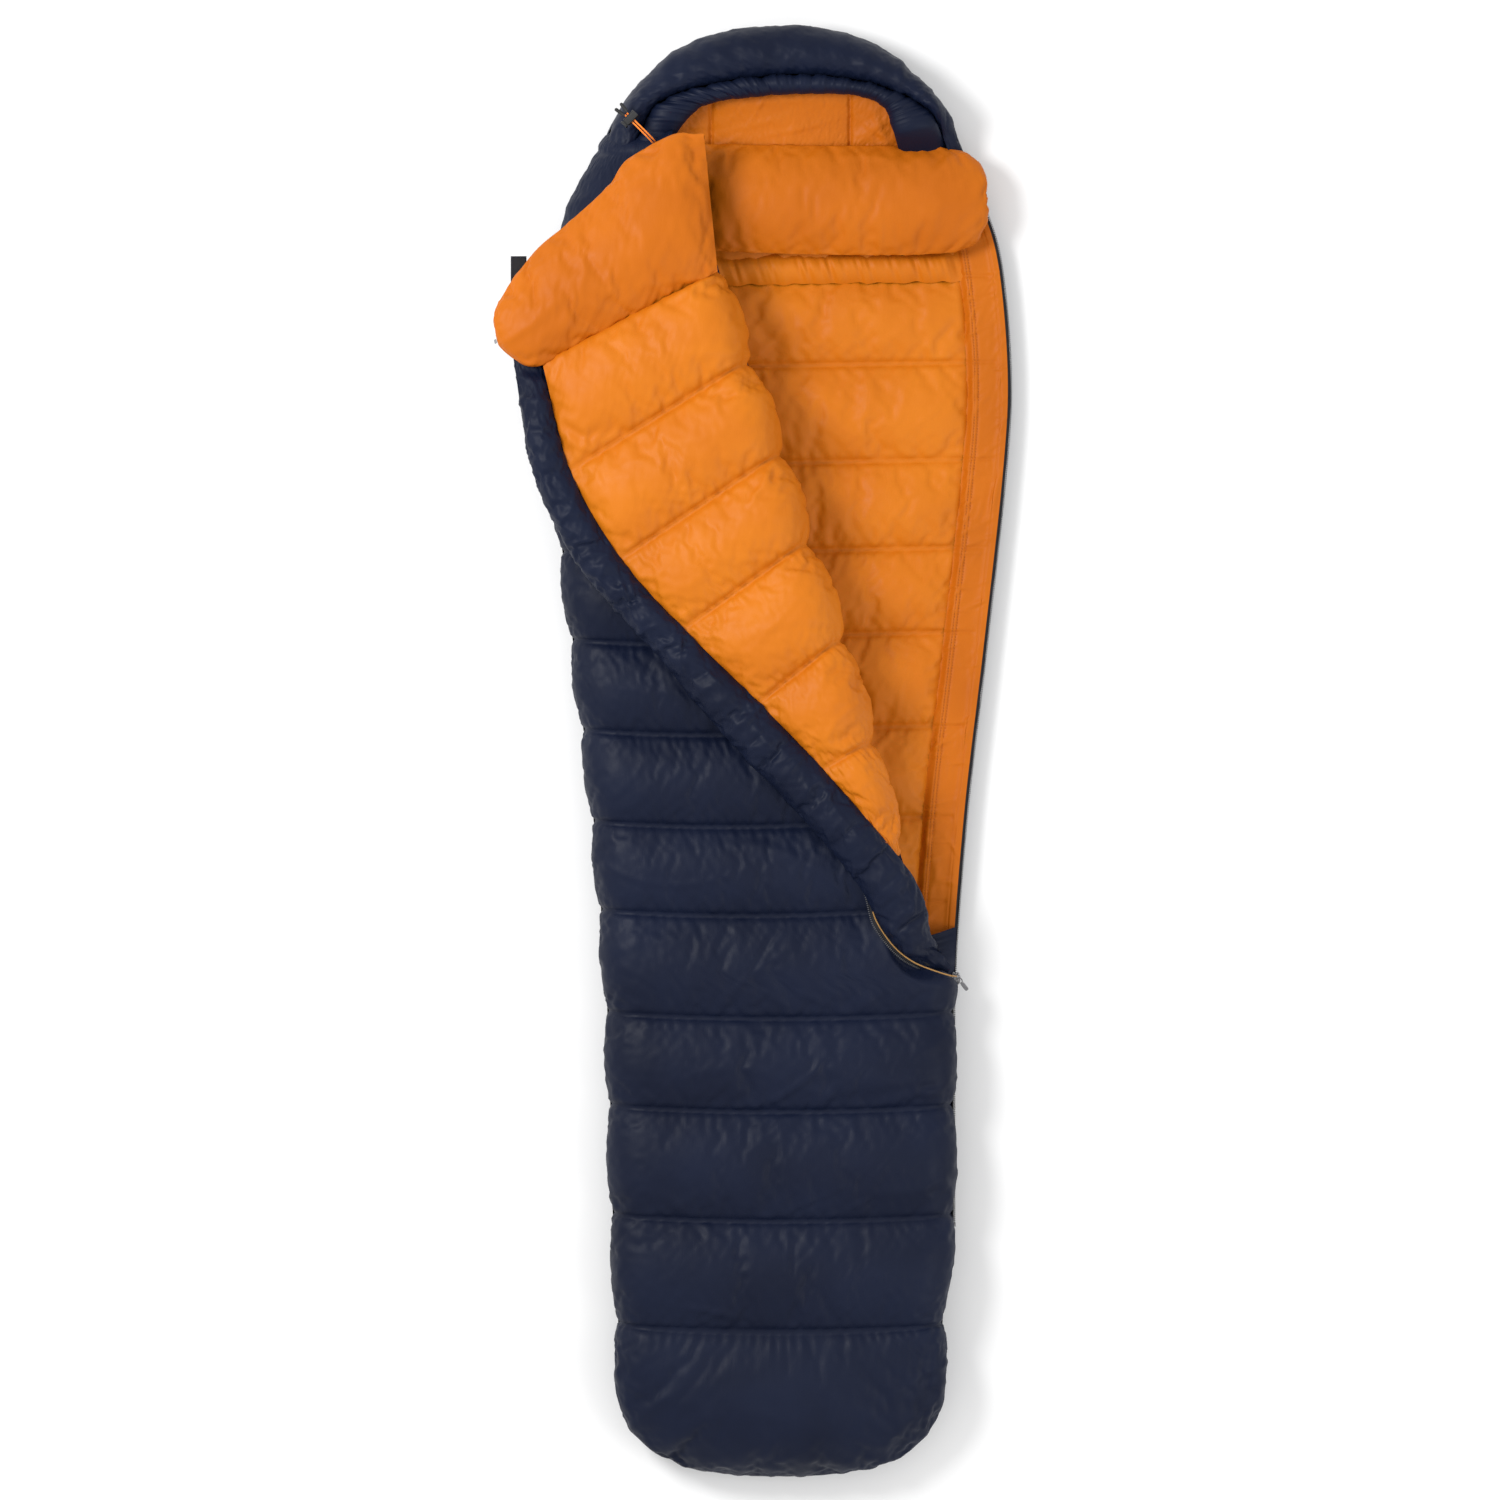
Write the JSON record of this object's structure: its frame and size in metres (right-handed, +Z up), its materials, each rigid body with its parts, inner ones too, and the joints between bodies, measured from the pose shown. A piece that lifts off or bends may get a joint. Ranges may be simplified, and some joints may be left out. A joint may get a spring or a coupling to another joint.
{
  "type": "mummy sleeping bag",
  "caption": "Mummy-shaped down sleeping bag with a hood, neck collar and side zip, lying on its back, unzipped to the hips with its front flap folded over.",
  "frame": {"origin": "on the floor, on the bag's centreline, halfway between the foot end and the hood end", "axes": "+Z up, +Y from foot to hood, +X towards the side with the zip"},
  "size_m": [0.7633, 2.128, 0.179],
  "materials": {
    "navy_nylon": "satin woven nylon",
    "orange_nylon": "satin woven nylon",
    "down": "matte down",
    "baffle_mesh": "matte mesh",
    "black_tape": "matte woven tape",
    "coil_plastic": "satin",
    "golden_piping": "satin",
    "zip_metal": "satin",
    "orange_cord": "matte braided",
    "black_plastic": "satin",
    "black_rubber": "matte",
    "spring_steel": "bright"
  },
  "bodies": {
    "sleeping_bag": {"back_baffle_walls": "baffle_mesh", "back_collar_cover": "orange_nylon", "back_collar_down": "down", "back_down": "down", "back_lining": "orange_nylon", "back_shell": "navy_nylon", "bag_zip_coil": "coil_plastic", "bag_zip_tape": "black_tape", "bag_zip_top_stop": "zip_metal", "closed_zip_lower_coil": "coil_plastic", "closed_zip_lower_tape": "black_tape", "closed_zip_upper_coil": "coil_plastic", "closed_zip_upper_tape": "black_tape", "collar_gather_band": "orange_nylon", "foot_box_down": "down", "foot_box_lining": "orange_nylon", "foot_box_shell": "navy_nylon", "front_baffle_walls": "baffle_mesh", "front_down": "down", "front_lining": "orange_nylon", "front_shell": "navy_nylon", "hood_brim": "navy_nylon", "hood_cord_end_tips": "black_rubber", "hood_cord_left_strand": "orange_cord", "hood_cord_right_strand": "orange_cord", "hood_down": "down", "hood_drawcord": "orange_cord", "hood_lining": "orange_nylon", "hood_shell": "navy_nylon", "hood_side_down": "down", "hood_side_lining": "orange_nylon", "hood_side_shell": "navy_nylon", "left_side_down": "down", "left_side_lining": "orange_nylon", "left_side_shell": "navy_nylon", "zip_bottom_stop": "zip_metal", "zip_facing": "orange_nylon", "zip_side_down": "down", "zip_side_lining": "orange_nylon", "zip_side_shell": "navy_nylon"},
    "flap": {"draft_tube_cover": "navy_nylon", "draft_tube_down": "down", "flap_baffle_walls": "baffle_mesh", "flap_down": "down", "flap_lining": "orange_nylon", "flap_shell": "navy_nylon", "flap_zip_coil": "coil_plastic", "flap_zip_piping": "golden_piping", "flap_zip_tape": "black_tape", "flap_zip_top_stop": "zip_metal", "front_collar_cover": "orange_nylon", "front_collar_down": "down"},
    "closure_tab": {"closure_tab": "black_tape", "closure_tab_hook_patch": "black_tape"},
    "zip_slider": {"zip_slider": "zip_metal"},
    "zip_pull": {"zip_pull": "zip_metal"},
    "cord_lock": {"cord_lock_barrel": "black_plastic", "cord_lock_spring": "spring_steel"},
    "cord_lock_button": {"cord_lock_button": "black_plastic"}
  },
  "joints": [
    {"name": "flap_fold", "type": "hinge", "parent": "sleeping_bag", "child": "flap", "pos_m": [0.228, -0.328, 0.12], "axis": [-0.2969, 0.9549, 0], "range_deg": [0, 170]},
    {"name": "closure_tab_hinge", "type": "hinge", "parent": "flap", "child": "closure_tab", "pos_m": [-0.382, 0.6685, 0.1195], "axis": [-1, 0, 0], "range_deg": [0, 80], "stiffness_Nm_per_rad": 0.02},
    {"name": "zip_slide", "type": "slide", "parent": "sleeping_bag", "child": "zip_slider", "axis": [0, -1, 0], "range_m": [0, 0.3]},
    {"name": "zip_pull_hinge", "type": "hinge", "parent": "zip_slider", "child": "zip_pull", "pos_m": [0.2599, -0.332, 0.055], "axis": [0, 0, 1], "range_deg": [-28, 130]},
    {"name": "cord_lock_slide", "type": "slide", "parent": "sleeping_bag", "child": "cord_lock", "axis": [-0.7173, 0.6968, 0], "range_m": [-0.015, 0]},
    {"name": "cord_lock_press", "type": "slide", "parent": "cord_lock", "child": "cord_lock_button", "axis": [0.6968, 0.7173, 0], "range_m": [0, 0.002], "stiffness_N_per_m": 500, "springref_m": -0.002}
  ]
}
